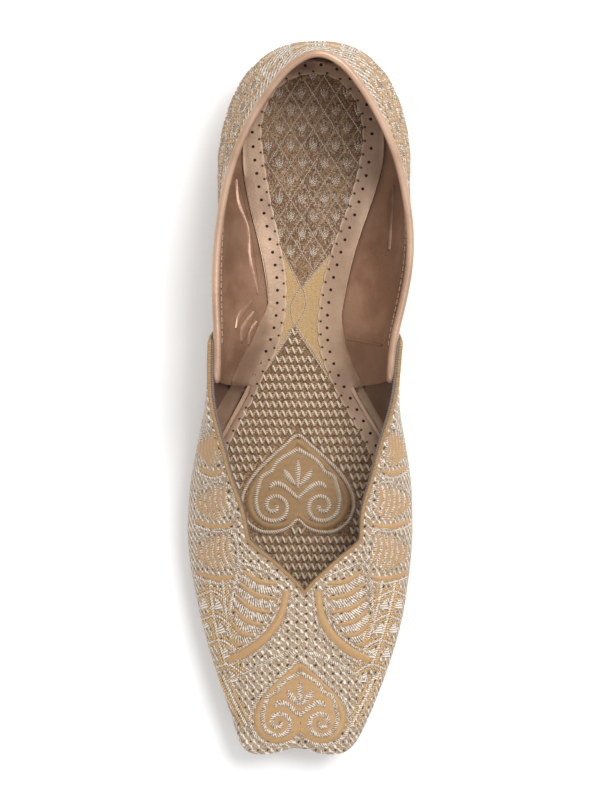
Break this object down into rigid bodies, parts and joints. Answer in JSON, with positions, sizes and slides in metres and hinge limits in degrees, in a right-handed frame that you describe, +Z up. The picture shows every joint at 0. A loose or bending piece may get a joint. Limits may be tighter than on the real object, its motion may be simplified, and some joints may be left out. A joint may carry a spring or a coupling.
{
  "type": "mojari shoe",
  "caption": "Right mojari: flat slip-on shoe with a V-throated brocade vamp, brocade quarter, padded hourglass insole and a moulded rubber sole with a low heel.",
  "frame": {"origin": "floor level under the middle of the shoe's bounding box", "axes": "+Z up, the toe points to -Y, +X to the inner (big toe) side"},
  "size_m": [0.08, 0.251, 0.062],
  "materials": {
    "sole_rubber": "matte moulded",
    "rose_leather": "metallic satin",
    "brocade": "woven gold and silver thread"
  },
  "bodies": {
    "root": {"outsole": "sole_rubber", "insole": "rose_leather", "vamp": "brocade", "quarter": "brocade"}
  },
  "joints": []
}
